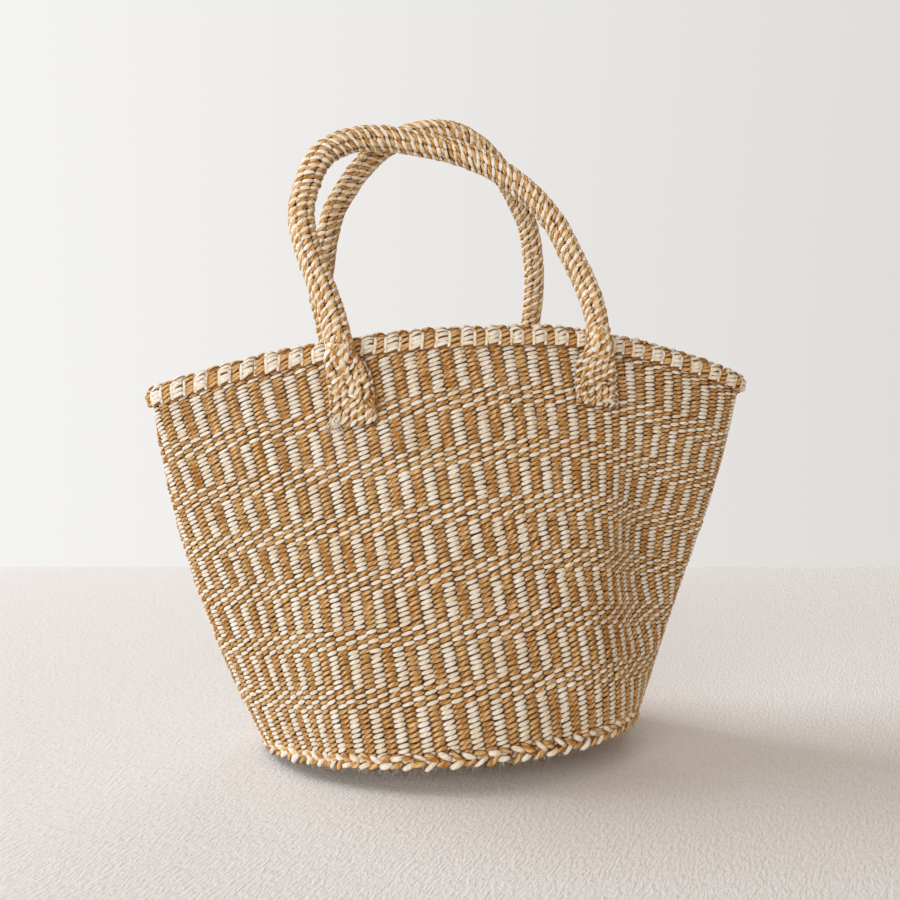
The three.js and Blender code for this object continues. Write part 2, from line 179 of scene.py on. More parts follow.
def outline(angle, rise):
    """The outline at a rise from 0 at the base edge to 1 at the rim, pinched at the right end."""
    angle, rise = np.asarray(angle, float), np.asarray(rise, float)
    swell = 4 * rise * (1 - rise)
    c = np.cos(angle)
    half_width = BASE_HALF_WIDTH + (MOUTH_HALF_WIDTH - BASE_HALF_WIDTH) * rise
    half_width = half_width + swell * (WALL_SWELL - c)
    half_depth = BASE_HALF_DEPTH + (MOUTH_HALF_DEPTH - BASE_HALF_DEPTH) * rise
    half_depth = half_depth + swell * WALL_SWELL
    exponent = 2 + (MOUTH_EXPONENT - 2) * rise
    x = half_width * power(c, 2 / exponent) + MOUTH_SHIFT * rise
    y = half_depth * power(np.sin(angle), 2 / exponent)
    pinch = PINCH / (1 + np.exp((PINCH_START - x) / PINCH_BLUR))
    return x, y * (1 - pinch * np.exp(-(((rise - PINCH_RISE) / PINCH_SPAN) ** 2)))


def way_round(angle, rise):
    """The level direction in which the outline runs: x and y."""
    ahead, behind = outline(angle + 0.01, rise), outline(angle - 0.01, rise)
    along = np.array([ahead[0] - behind[0], ahead[1] - behind[1]])
    return along / np.hypot(*along)


def wall_point(angle, rise, outwards=0.0):
    """Points on the outer surface, moved outwards across the wall; n by 3."""
    x, y = outline(angle, rise)
    along = way_round(angle, rise)
    z = edge_height(x, y) * (1 - rise) + rim_height(angle) * rise
    kept = np.maximum(np.abs(y) - np.sign(y) * along[0] * outwards, np.abs(y) / 4)
    return np.stack([x + along[1] * outwards, np.sign(y) * kept, z], -1)


def angle_table(rises=25, shares=441):
    """Angles at equal lengths round the outline, from the left-hand end over the front."""
    angles = np.linspace(-math.pi, math.pi, 1441)
    rows = []
    for rise in np.linspace(0, 1, rises):
        plan = wall_point(angles, rise)[:, :2]
        run = np.concatenate([[0], np.cumsum(np.hypot(*np.diff(plan, axis=0).T))])
        rows.append(np.interp(np.linspace(0, run[-1], shares), run, angles))
    return np.array(rows)


ANGLES = angle_table()


def angle_at(share, rise):
    """The angle at a share of the way round, at a rise."""
    rows, columns = ANGLES.shape
    column = np.clip(share * (columns - 1), 0, columns - 1 - 1e-6)
    return between(ANGLES, column, rise * (rows - 1))


def warp_share(warp, rise):
    """Where a warp is on its way round: warps lean, and crowd at the lower left."""
    near = (warp - 1 + WARPS / 2) % WARPS - WARPS / 2
    crowd = WARP_CROWD * (1 - rise) ** 2 * np.exp(-((near / CROWD_SPAN) ** 2))
    return ((warp + WARP_START + WARP_LEAN * (1 - rise) + crowd) / WARPS) % 1


def row_rise(row):
    """The rise of a row's middle; row 0 is the first in full view, and rows count downwards."""
    return ROW_TOP - ROW_STEP * row - ROW_GROWTH * row**2


# How the twiner's tension pulled the work across the front: warps, then rows, by which a stitch
# lies off the even layout. Columns are DRIFT_WARPS apart from the left-hand end, and lines are
# DRIFT_ROWS apart down from row 0. The drift fades away over both ends towards the back.
DRIFT_WARPS, DRIFT_ROWS = 6, 16
WARP_DRIFT = (
    (0.44, 0.45, 0.28, 0.00, -0.02, 0.25, 0.10, -0.70, -0.60, 0.00),
    (0.94, 0.97, 0.60, 0.05, -0.05, 0.15, -0.20, -1.40, -1.90, -1.60),
    (1.25, 1.20, 0.74, 0.17, -0.02, -0.18, -0.73, -1.40, -1.64, -1.50),
    (1.45, 1.34, 0.62, 0.05, 0.00, -0.20, -0.60, -0.50, -0.60, -0.60),
    (0.86, 0.60, 0.05, -0.10, 0.20, 0.30, 0.36, 0.30, 0.40, 0.00),
    (-0.55, -0.73, -0.80, -0.44, 0.14, 0.57, 0.56, 0.30, 0.20, 0.00),
)
ROW_DRIFT = (
    (1.40, 1.75, 2.25, 1.78, 0.60, -0.30, 0.40, 2.00, 2.30, 3.50),
    (1.68, 1.78, 2.05, 1.70, 0.65, -0.30, 0.20, 1.80, 3.25, 4.20),
    (1.55, 1.35, 1.25, 1.14, 0.36, -0.40, -0.10, 1.75, 3.40, 3.80),
    (1.10, 0.55, 0.60, 0.72, 0.10, -0.80, -0.60, 1.20, 2.30, 3.50),
    (0.40, 0.20, 0.20, 0.05, -0.25, -0.80, -0.10, 0.60, 1.20, 1.20),
    (0.00, 0.00, -0.20, -0.05, -0.30, -0.80, 0.00, 0.30, 0.00, 0.00),
)
BACK_WARPS = (68, 96)  # between these the back has no drift


def drift(table, warp, row):
    """Reads a drift table between its entries."""
    lines = np.array(table)
    stations = [*np.arange(lines.shape[1]) * DRIFT_WARPS, *BACK_WARPS, WARPS]
    lines = np.concatenate([lines, np.zeros((len(lines), 2)), lines[:, :1]], 1)
    warp = np.asarray(warp, float) % WARPS
    j = np.clip(np.asarray(row, float) / DRIFT_ROWS, 0, len(lines) - 1 - 1e-6)
    j0 = j.astype(int)
    across = np.array([np.interp(warp, stations, line) for line in lines])
    low = np.take_along_axis(across, j0[None], 0)[0]
    high = np.take_along_axis(across, j0[None] + 1, 0)[0]
    return low + (high - low) * (j - j0)


def stitch_place(warp, row):
    """Points of the wall by warp and row, drift and all."""
    warp, row = np.broadcast_arrays(np.asarray(warp, float), np.asarray(row, float))
    across, down = drift(WARP_DRIFT, warp, row), drift(ROW_DRIFT, warp, row)
    rise = np.maximum(row_rise(row + down), 0)
    # Rows crowd together under the binding and never come through its crest.
    hidden = np.maximum(rise - HIDDEN_FROM, 0)
    crowded = HIDDEN_ROOM * (1 - np.exp(-hidden / HIDDEN_ROOM))
    return on_wall(warp + across, rise - hidden + crowded)


def on_wall(warp, rise):
    """Points of the wall by warp and rise."""
    warp, rise = np.broadcast_arrays(np.asarray(warp, float), np.asarray(rise, float))
    return wall_point(angle_at(warp_share(warp, rise), rise), rise) + SHIFT


# ---------- cloths: surfaces that strands are laid on


class Cloth:
    """A surface as a grid of places: u goes across, closed, and v up. The outer side is u x v."""

    def __init__(self, places, turn, v_low, v_high, keep_sides=False):
        self.places, self.turn = places, turn
        self.v_low, self.v_high = v_low, v_high
        across = np.roll(places, -1, 1) - np.roll(places, 1, 1)
        up = np.gradient(places, axis=0)
        self.normals = unit(np.cross(across, up))
        self.keep_sides = keep_sides

    def read(self, grid, u, v):
        """The values of one of the cloth's grids at (u, v)."""
        rows, columns = grid.shape[:2]
        row = (v - self.v_low) / (self.v_high - self.v_low) * (rows - 1)
        return between(grid, (u / self.turn * columns) % columns, row)

    def at(self, u, v, out):
        """Places at (u, v) moved outwards, with the outward directions."""
        u, v, out = np.broadcast_arrays(*(np.asarray(a, float) for a in (u, v, out)))
        place, normal = self.read(self.places, u, v), unit(self.read(self.normals, u, v))
        moved = place + normal * out[..., None]
        if self.keep_sides:
            # At the folded ends a strand stays on its own side of the fold.
            side = np.sign(place[..., 1])
            moved[..., 1] = side * np.maximum(side * moved[..., 1], np.abs(place[..., 1]) * 0.3)
        return moved, normal

    def row_step(self, u, v):
        """The distance that one unit of v covers."""
        a, _ = self.at(u, v + 0.25, 0)
        b, _ = self.at(u, v - 0.25, 0)
        return np.linalg.norm(a - b, axis=-1) * 2


def grid_of(turn, columns, v_low, v_high, rows, place):
    """The places of a cloth's grid."""
    u, v = np.meshgrid(np.arange(columns) * turn / columns, np.linspace(v_low, v_high, rows))
    return place(u.ravel(), v.ravel()).reshape(rows, columns, 3)


# ---------- meshes


def tubes(points, outward, thick, high, tone, crown, closed, sides=6):
    """Tubes along lines of points. Arrays are strands by stations; returns the parts of a mesh."""
    if closed:
        along = np.roll(points, -1, 1) - np.roll(points, 1, 1)
        step = np.linalg.norm(np.roll(points, -1, 1) - points, axis=2)
    else:
        along = np.gradient(points, axis=1)
        step = np.linalg.norm(np.diff(points, axis=1, append=points[:, -1:]), axis=2)
    along = unit(along)
    outward = unit(outward - along * np.sum(outward * along, 2, keepdims=True))
    beside = np.cross(along, outward)
    turn = (np.arange(sides) + 0.5) * 2 * math.pi / sides
    rings = (
        points[:, :, None]
        + outward[:, :, None] * (thick[..., None] * np.cos(turn))[..., None]
        + beside[:, :, None] * (high[..., None] * np.sin(turn))[..., None]
    )
    strands, stations = points.shape[:2]
    index = np.arange(strands * stations * sides).reshape(strands, stations, sides)
    ahead = np.roll(index, -1, 1) if closed else index[:, 1:]
    here = index if closed else index[:, :-1]
    quads = np.stack([here, np.roll(here, -1, 2), np.roll(ahead, -1, 2), ahead], -1).reshape(-1, 4)
    run = np.concatenate([np.zeros((strands, 1)), np.cumsum(step, 1)], 1) / 10
    count = here.shape[1]
    u0 = np.broadcast_to(run[:, :count, None], here.shape)
    u1 = np.broadcast_to(run[:, 1 : count + 1, None], here.shape)
    v0 = np.broadcast_to(np.arange(sides) / sides, here.shape)
    v1 = v0 + 1 / sides
    uv = np.stack([u0, v0, u0, v1, u1, v1, u1, v0], -1).reshape(-1, 2)
    caps = np.zeros((0, sides), int)
    if not closed:
        caps = np.concatenate([index[:, 0, ::-1], index[:, -1]])
        uv = np.concatenate([uv, np.zeros((caps.size, 2))])
    tone, crown = (np.repeat(values.reshape(-1), sides) for values in (tone, crown))
    return rings.reshape(-1, 3), quads, caps, uv, tone, crown


def joined(parts):
    """Several parts of meshes with the same count of sides as one."""
    verts, quads, caps, uvs, tones, crowns = zip(*parts)
    bases = np.cumsum([0] + [len(v) for v in verts])
    uvs = [uv[: q.size] for uv, q in zip(uvs, quads)] + [uv[q.size :] for uv, q in zip(uvs, quads)]
    quads, caps = ([faces + base for faces, base in zip(group, bases)] for group in (quads, caps))
    return tuple(np.concatenate(group) for group in (verts, quads, caps, uvs, tones, crowns))


def add_piece(name, part, kind, body=None):
    """One object of a kind of strand from the parts of a mesh, in metres at the origin."""
    verts, quads, caps, uv, tone, crown = part
    mesh = bpy.data.meshes.new(name)
    mesh.vertices.add(len(verts))
    mesh.vertices.foreach_set("co", (verts * MM).astype(np.float32).ravel())
    corners = np.concatenate([quads.ravel(), caps.ravel()])
    mesh.loops.add(len(corners))
    mesh.loops.foreach_set("vertex_index", corners.astype(np.int32))
    sizes = np.concatenate([np.full(len(quads), 4), np.full(len(caps), caps.shape[1])])
    starts = np.concatenate([[0], np.cumsum(sizes)[:-1]])
    mesh.polygons.add(len(sizes))
    mesh.polygons.foreach_set("loop_start", starts.astype(np.int32))
    mesh.polygons.foreach_set("use_smooth", np.ones(len(sizes), bool))
    mesh.update(calc_edges=True)
    mesh.uv_layers.new(name="strand").data.foreach_set("uv", uv.astype(np.float32).ravel())
    for label, values in (("tone", tone), ("crown", crown)):
        data = mesh.attributes.new(label, "FLOAT", "POINT").data
        data.foreach_set("value", values.astype(np.float32))
    slot, material = finish_of(kind)
    mesh.materials.append(material)
    piece = bpy.data.objects.new(name, mesh)
    bpy.context.scene.collection.objects.link(piece)
    if body:
        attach(piece, body)
    return piece


# Stations of a strand over two warps: five over the outer stitch, whose tips pass beside those of
# its neighbours, and two behind the next warp.
OFFSETS = np.array([-0.58, -0.34, 0.0, 0.34, 0.58, 0.82, 1.18])
REACH = np.array([0.1, 0.82, 1.0, 0.82, 0.1, -0.85, -0.85])
CLIMB = np.array([-1.0, -0.58, 0.0, 0.58, 1.0, 0.4, -0.4])
FULLNESS = np.array([0.0, 0.74, 1.0, 0.74, 0.0, 0.62, 0.62])
# A station's crown sets its painted shade: the tips, at 0, take the deep tone in full, and a crown
# of 0.66 or more takes none.
CROWN = np.array([0.0, 0.85, 1.0, 0.85, 0.0, 0.6, 0.6])


WARP_DEPTH, WARP_RADIUS, WARP_TONE = 2.4, 1.25, 0.375  # of the wall's hidden warps
STRANDS = (("undyed", 0), ("tan", 1))  # the two strands, and the warp that each starts from


def twined(cloth, start, pairs, v, size, rng, closed=True, scale=1.0):
    """Strands that pass over every second warp on the outside, from warp `start`.

    v is each strand's height: one value a strand, or a function of the warp. Every "uneven" is a
    share by which the hand's work varies.
    """
    start = np.atleast_1d(np.asarray(start, float))
    count = len(start)

    def uneven(share):
        return share * size["uneven"] * rng.standard_normal((count, pairs, 1))

    warp = start[:, None, None] + 2 * np.arange(pairs)[None, :, None] + OFFSETS
    v = v(warp) if callable(v) else np.broadcast_to(np.reshape(v, (-1, 1, 1)), warp.shape)
    height = v + CLIMB * size["slant"] * (1 + uneven(0.2))
    height = height + FULLNESS * size["height"] * uneven(0.09)
    out = size["middle"] + size["reach"] * (REACH + FULLNESS * uneven(0.1))
    shape = (count, pairs * len(OFFSETS))
    u = ((warp + uneven(0.035)) * scale).reshape(shape)
    points, outward = cloth.at(u, height.reshape(shape), out.reshape(shape))
    step = cloth.row_step(u, height.reshape(shape))
    full = np.broadcast_to(FULLNESS, warp.shape) * (1 + uneven(0.08))
    high = step * (size["pinch"] + (size["height"] - size["pinch"]) * full.reshape(shape))
    thick = size["thin"] + (size["thickness"] - size["thin"]) * full.reshape(shape)
    tone = np.repeat(rng.random((count, pairs, 1)), len(OFFSETS), 2).reshape(shape)
    crown = np.broadcast_to(CROWN, warp.shape).reshape(shape)
    return tubes(points, outward, thick, high, tone, crown, closed)


def add_twining(name, cloth, starts, pairs, v, size, rng, body=None, closed=True):
    """The two pieces that twine together, undyed and tan; the name has {} for the strand."""
    pieces = []
    for kind, shift in STRANDS:
        mesh = twined(cloth, (np.array(starts) + shift) % 2, pairs, v, size, rng, closed)
        pieces.append(add_piece(name.format(kind), mesh, kind, body))
    return pieces


def hidden_warps(cloth, count, v, depth, thick, high, tone):
    """Tubes that run up a cloth under its strands."""
    u = np.arange(count, dtype=float)[:, None] + 0 * v
    points, outward = cloth.at(u, v + 0 * u, -depth)
    even = np.ones(u.shape)
    # A crown of 0 paints the whole warp in the deep tone, as painted shade in the gaps between
    # strands.
    return tubes(points, outward, even * thick, even * high, even * tone, even * 0, closed=False)


def sizes_of(settings, **changes):
    """A strand's sizes: the wall's own, with changes. Height, pinch and slant are in rows there."""
    size = {
        "reach": settings.strand_reach, "thickness": settings.strand_thickness, "thin": 0.6,
        "height": settings.strand_height, "pinch": 0.14, "slant": settings.slant,
        "middle": -WARP_DEPTH, "uneven": 1.0,
    }
    return size | changes


def short_strands(cloth, u, v, out, thick, high, rng):
    """Open strands through given (u, v, out) stations; arrays are strands by stations."""
    points, outward = cloth.at(u, v, out)
    tone = np.repeat(rng.random((len(u), 1)), u.shape[1], 1)
    thick, high, crown = np.broadcast_arrays(thick, high, np.ones(u.shape))
    # Towards both ends a strand takes painted shade, where it tucks in beside its neighbours.
    crown = crown * np.clip(np.sin(np.linspace(0.16, math.pi - 0.16, u.shape[1])) * 3, 0, 1)
    return tubes(points, outward, thick, high, tone, crown, closed=False)


def fibres(roots, outward, lengths, rng, radius, droop):
    """Single loose fibres that leave a surface and curl, three-sided and a few millimetres long."""
    count = len(roots)
    beside = unit(np.cross(outward, rng.standard_normal((count, 3))))
    curl = np.cross(outward, beside) * rng.uniform(-0.5, 0.5, (count, 1))
    lift = rng.uniform(0.15, 0.75, (count, 1))
    t = np.linspace(0, 1, 5)[None, :, None]
    reach = lengths[:, None, None]
    points = (
        roots[:, None]
        + reach * t * (beside + outward * lift)[:, None]
        + reach * t**2 * (curl - outward * lift * 0.45 - np.array([0, 0, droop]))[:, None]
    )
    points[..., 2] = np.maximum(points[..., 2], 0.2)  # a fibre lies on the floor, never through it
    shape = points.shape[:2]
    width = radius * (1 - 0.6 * t[..., 0]) * np.ones(shape)
    spread = np.broadcast_to(outward[:, None], points.shape)
    tone = np.repeat(rng.random((count, 1)), shape[1], 1)
    return tubes(points, spread, width, width, tone, np.ones(shape), closed=False, sides=3)


# ---------- materials


def node(tree, kind, links=None, **settings):
    """Adds a shader node, gives it its settings, and links or fills its inputs.

    A node given as a value stands for its first output.
    """
    made = tree.nodes.new("ShaderNode" + kind)
    for key, value in settings.items():
        setattr(made, key, value)
    for key, value in (links or {}).items():
        if isinstance(value, bpy.types.Node):
            value = value.outputs[0]
        if isinstance(value, bpy.types.NodeSocket):
            tree.links.new(value, made.inputs[key])
        else:
            made.inputs[key].default_value = value
    return made


def blank_material(name):
    """A material with an empty node tree, and the tree."""
    material = bpy.data.materials.get(name) or bpy.data.materials.new(name)
    material.use_nodes = True
    material.node_tree.nodes.clear()
    return material, material.node_tree


def sisal(name, light, dark, painted_shade, ply, roughness, relief):
    """Two-ply sisal: matt leaf fibre with no specular face."""
    material, tree = blank_material(name)
    place = node(tree, "UVMap", uv_map="strand")
    # U is in centimetres along the strand and V goes once round it, about 8 mm. Fibre is drawn
    # 0.8 mm wide, several times its real width, so that it shows; it lies 30 degrees to the strand.
    split = node(tree, "SeparateXYZ", {0: place})
    lay = node(tree, "Math", {0: split, 1: 0.7, 2: split.outputs[1]}, operation="MULTIPLY_ADD")
    fibre_place = node(tree, "CombineXYZ", {0: split, 1: lay})
    stretched = node(
        tree, "VectorMath", {0: fibre_place, 1: (2.2, 10.0, 1.0)}, operation="MULTIPLY"
    )
    fibre = node(
        tree, "TexNoise", {"Vector": stretched, "Scale": 1.0, "Detail": 3.0, "Roughness": 0.65}
    )
    # Two plies make two grooves round the strand.
    plies = node(tree, "Math", {0: lay, 1: 4 * math.pi}, operation="MULTIPLY")
    groove = node(tree, "Math", {0: plies}, operation="COSINE")
    # Dye and sun vary over several centimetres of the bag.
    where = node(tree, "TexCoord")
    patch = node(
        tree, "TexNoise", {"Vector": where.outputs["Object"], "Scale": 24.0, "Detail": 2.0}
    )
    tone = node(tree, "Attribute", attribute_name="tone")
    crown = node(tree, "Attribute", attribute_name="crown")
    # The share of the dark tone: strand by strand, then patches, fibre, and painted shade along the
    # grooves between plies, lighter over the plies themselves. It starts so low that half of the
    # face stays light.
    dark_share = -1.55
    shares = ((tone.outputs["Fac"], 0.45), (patch, 0.45), (fibre, 3.2), (groove, 0.6 * ply))
    for value, weight in shares:
        links = {0: value, 1: weight, 2: dark_share}
        dark_share = node(tree, "Math", links, operation="MULTIPLY_ADD")
    share = node(tree, "Clamp", {"Value": dark_share})
    face = node(tree, "Mix", {"Factor": share, "A": (*light, 1), "B": (*dark, 1)}, data_type="RGBA")
    # Painted shade where a strand dives between warps, with some of the less bleached fibre that a
    # dive hides: the lower the crown, the more of the deep tone.
    dip = node(
        tree, "MapRange",
        {"Value": crown.outputs["Fac"], "From Max": 0.66, "To Min": 1.0, "To Max": 0.0},
    )
    # Painted shade darkens both flanks of a strand, where it lies against the next row. V starts
    # one twelfth of a turn round from the outer face.
    turned = node(
        tree, "Math", {0: split.outputs[1], 1: 2 * math.pi, 2: math.pi / 6},
        operation="MULTIPLY_ADD",
    )
    across = node(tree, "Math", {0: turned}, operation="COSINE")
    facing = node(tree, "Math", {0: across}, operation="ABSOLUTE")
    flank = node(
        tree, "MapRange", {"Value": facing, "From Max": 0.5, "To Min": 0.95, "To Max": 0.0}
    )
    shaded = node(tree, "Math", {0: dip, 1: flank}, operation="MAXIMUM")
    # Dives and flanks mix the deep tone over the face as painted shade.
    colour = node(
        tree, "Mix",
        {"Factor": shaded, "A": face.outputs["Result"], "B": (*painted_shade, 1)},
        data_type="RGBA",
    )
    height = node(tree, "Math", {0: groove, 1: -0.5 * ply, 2: fibre}, operation="MULTIPLY_ADD")
    bump = node(tree, "Bump", {"Height": height, "Strength": relief, "Distance": 0.0016})
    shader = node(
        tree, "BsdfPrincipled",
        {"Base Color": colour.outputs["Result"], "Normal": bump,
         "Roughness": roughness, "Specular IOR Level": 0.0},
    )
    node(tree, "OutputMaterial", {0: shader})
    return material


# Each kind of strand: its slot, its material's name and dye, how deep the groove between its plies
# is, and the roughness and relief.
KINDS = {
    "undyed": ("undyed_sisal", "undyed sisal, twined", "undyed", 0.25, 0.6, 0.5),
    "tan": ("tan_sisal", "tan sisal, twined", "tan", 0.6, 0.62, 0.9),
    "warp": ("cord_fibre", "sisal warp cord, laid", "tan", 0.6, 0.8, 0.6),
}


def finish_of(kind):
    """The slot and the material of a kind of strand; the material is made once."""
    slot, name, dye, *surface = KINDS[kind]
    colours = bpy.context.scene.sisal_colours
    tones = [tuple(getattr(colours, f"{dye}_{tone}")) for tone in ("light", "dark", "painted_shade")]
    return slot, bpy.data.materials.get(name) or sisal(name, *tones, *surface)


# ---------- the wall

TOP_ROW, LAST_ROW = -9, 82  # rows above row 0 run under the binding


def row_start(row):
    """Which warps undyed strand covers in a row: stripes for 8 rows, then 4 that step aside."""
    if row < -2:
        return row % 2
    block, within = divmod(min(max(row, 0), 79), 12)
    steps = max(0, within - 7)
    return (block + steps) % 2


def wall_cloth():
    """u counts warps and v counts rows upwards, so row r is at v = -r."""
    low, high = -LAST_ROW - 2, -TOP_ROW + 2
    places = grid_of(
        WARPS, WARPS * 4, low, high, high - low + 1, lambda u, v: stitch_place(u, -v)
    )
    return Cloth(places, WARPS, low, high, keep_sides=True)


class SISAL_OT_wall(bpy.types.Operator):
    """Twine the wall, row by row, with an undyed and a tan strand round upright warps"""

    bl_idname = "sisal.wall"
    bl_label = "Wall"

    def execute(self, context):
        sizes = context.scene.twining_sizes
        rng = np.random.default_rng(sizes.seed)
        cloth = wall_cloth()
        rows = np.arange(TOP_ROW, LAST_ROW + 1)
        pieces = []
        for part, chosen in zip(("upper", "middle", "lower"), np.array_split(rows, 3)):
            pieces += add_twining(
                f"wall_{part}_{{}}_strands", cloth, [row_start(row) for row in chosen],
                WARPS // 2, -chosen.astype(float), sizes_of(sizes), rng, "bag",
            )
        v = np.linspace(-LAST_ROW - 0.5, -TOP_ROW, 30)
        mesh = hidden_warps(cloth, WARPS, v, WARP_DEPTH, WARP_RADIUS, WARP_RADIUS, WARP_TONE)
        pieces.append(add_piece("wall_warps", mesh, "warp", "bag"))
        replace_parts(pieces[0], "front_wall", "back_wall")
        return {"FINISHED"}


# ---------- the base

PLAIT_ROWS = ((2.4, 2.3), (6.5, -2.0))  # height of each row's middle and half the rise of a stitch
EDGE_STRAND = dict(
    middle=-1.8, reach=2.2, thickness=1.75, thin=1.0, height=1.95, pinch=0.85, uneven=2.6
)
PANEL_STRAND = dict(
    middle=-2.3, reach=1.1, thickness=1.1, thin=0.9, height=2.0, pinch=1.0, slant=1.2
)
PANEL_DOME, PANEL_REACH, PANEL_RING = 16.0, 114.0, 3.5  # rise, radius and a ring's width
PANEL_STITCH = 8.0  # round a ring, from one crossing of the strands to the next but one


def edge_cloth():
    """The bottom edge: u counts warps and v is millimetres above the underside."""
    def place(u, v):
        low = on_wall(u + drift(WARP_DRIFT, u, np.full_like(u, 80)), 0.0)
        return low + np.stack([0 * v, 0 * v, v], -1)

    return Cloth(grid_of(WARPS, WARPS * 3, -3, 12, 16, place), WARPS, -3, 12)


def panel_cloth():
    """The underside: u is a share of a turn, anticlockwise, and v is mm from the middle."""
    def place(u, v):
        ring = wall_point(2 * math.pi * u, 0.0, -6.0)
        share = np.minimum(v / PANEL_REACH, 1.02)
        flat = ring[:, :2] * share[:, None]
        lifted = edge_height(flat[:, 0], flat[:, 1]) + 2 - PANEL_DOME * (1 - share**2)
        return np.stack([flat[:, 0], flat[:, 1], np.maximum(0, lifted)], -1) + SHIFT

    return Cloth(grid_of(1, 180, 1, PANEL_REACH + 1, 60, place), 1, 1, PANEL_REACH + 1)


class SISAL_OT_base(bpy.types.Operator):
    """Twine the round base in rings and finish its edge with two thick rows that slant apart"""

    bl_idname = "sisal.base"
    bl_label = "Base and edge"

    def execute(self, context):
        sizes = context.scene.twining_sizes
        rng = np.random.default_rng(sizes.seed + 1)
        edge = edge_cloth()
        for kind, shift in STRANDS:
            rows = []
            for index, (height, slant) in enumerate(PLAIT_ROWS):
                size = sizes_of(sizes, slant=slant, **EDGE_STRAND)
                rows.append(twined(edge, (shift + index) % 2, WARPS // 2, height, size, rng))
            piece = add_piece(f"base_edge_{kind}_strands", joined(rows), kind, "bag")
            if kind == "undyed":
                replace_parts(piece, "base_edge_plait")
        panel = panel_cloth()
        rings = {kind: [] for kind, _ in STRANDS}
        size = sizes_of(sizes, **PANEL_STRAND)
        for ring, radius in enumerate(np.arange(5.0, PANEL_REACH - 1, PANEL_RING)):
            crossings = max(4, 2 * round(math.pi * radius / PANEL_STITCH))
            for kind, shift in STRANDS:
                start = (ring // 4 + shift) % 2
                mesh = twined(
                    panel, start, crossings // 2, radius, size, rng, scale=1 / crossings
                )
                rings[kind].append(mesh)
        for kind, meshes in rings.items():
            piece = add_piece(f"base_{kind}_strands", joined(meshes), kind, "bag")
            if kind == "undyed":
                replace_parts(piece, "base_panel")
        return {"FINISHED"}


# ---------- the rim

RIM_REACH = 12.2  # how far down each face the binding's section runs
RIM_HALF_THICKNESS, RIM_BEND, RIM_CROWN, RIM_SEAT = 4.6, 3.6, 3.2, 3.9  # the section's round top
RIB_HALF, BLOCK_HALF = 0.46, 0.52  # half the run of a rib and of a tan block's strand, in warps
RIB_STEP = 2.5  # down a face, from rib to rib
CREST_STRAND = dict(
    middle=0.7, reach=1.5, thickness=1.6, thin=0.9, height=2.3, pinch=0.8, slant=1.3, uneven=2.6
)


def rim_section(v):
    """Distance in front of the wall's middle, and height, from the outside over to the inside."""
    bend = math.pi / 2 * RIM_BEND
    turn = np.clip(v / bend, -1, 1) * math.pi / 2
    below = np.maximum(np.abs(v) - bend, 0)
    front = -np.sin(turn) * RIM_HALF_THICKNESS * (1 - 0.02 * below)
    return front, RIM_CROWN * np.cos(turn) - RIM_SEAT - below


def rim_cloth():
    """The binding's bed: u counts warps and v is millimetres over the rim, 0 at the crest."""
    def place(u, v):
        front, height = rim_section(v)
        u = u + drift(WARP_DRIFT, u, 0 * u)
        top = np.ones_like(u)
        angle = angle_at(warp_share(u, top), top)
        # The faces follow the wall's own lean, so that no gap opens under the binding.
        rise = 1 + np.minimum(height, 0) / (rim_height(angle) - wall_point(angle, 0.0)[:, 2])
        middle = wall_point(angle, rise, -WALL_THICKNESS / 2)
        x, y = way_round(angle, 1.0)
        normal = np.stack([y, -x, 0 * front], -1)
        placed = middle + normal * front[:, None]
        placed[:, 2] = rim_height(angle) + height
        return placed + SHIFT

    places = grid_of(WARPS, WARPS * 6, -RIM_REACH, RIM_REACH, 53, place)
    return Cloth(places, WARPS, -RIM_REACH, RIM_REACH)


def bed_part(cloth, columns, rows, out):
    """A closed sheet of quads that follows a cloth, as a bed under strands."""
    u, v = np.meshgrid(
        np.arange(columns) * cloth.turn / columns, np.linspace(cloth.v_low, cloth.v_high, rows)
    )
    points, _ = cloth.at(u, v, out)
    inner, _ = cloth.at(u, v, out - 0.8)
    index = np.arange(rows * columns).reshape(rows, columns)

    def side(sheet, flip):
        a, b = sheet[:-1], sheet[1:]
        quads = np.stack([a, np.roll(a, -1, 1), np.roll(b, -1, 1), b], -1).reshape(-1, 4)
        return quads[:, ::-1] if flip else quads

    low, high = index[0], index[-1]
    shift = rows * columns
    ends = [
        np.stack([low + shift, np.roll(low, -1) + shift, np.roll(low, -1), low], -1),
        np.stack([high, np.roll(high, -1), np.roll(high, -1) + shift, high + shift], -1),
    ]
    quads = np.concatenate([side(index, False), side(index + shift, True), *ends])
    verts = np.concatenate([points.reshape(-1, 3), inner.reshape(-1, 3)])
    flat = np.full(len(verts), 0.5)
    uv = np.zeros((quads.size, 2))
    # A crown of 0.4 mixes some painted shade into the bed's colour.
    return verts, quads, np.zeros((0, 4), int), uv, flat, flat * 0.8


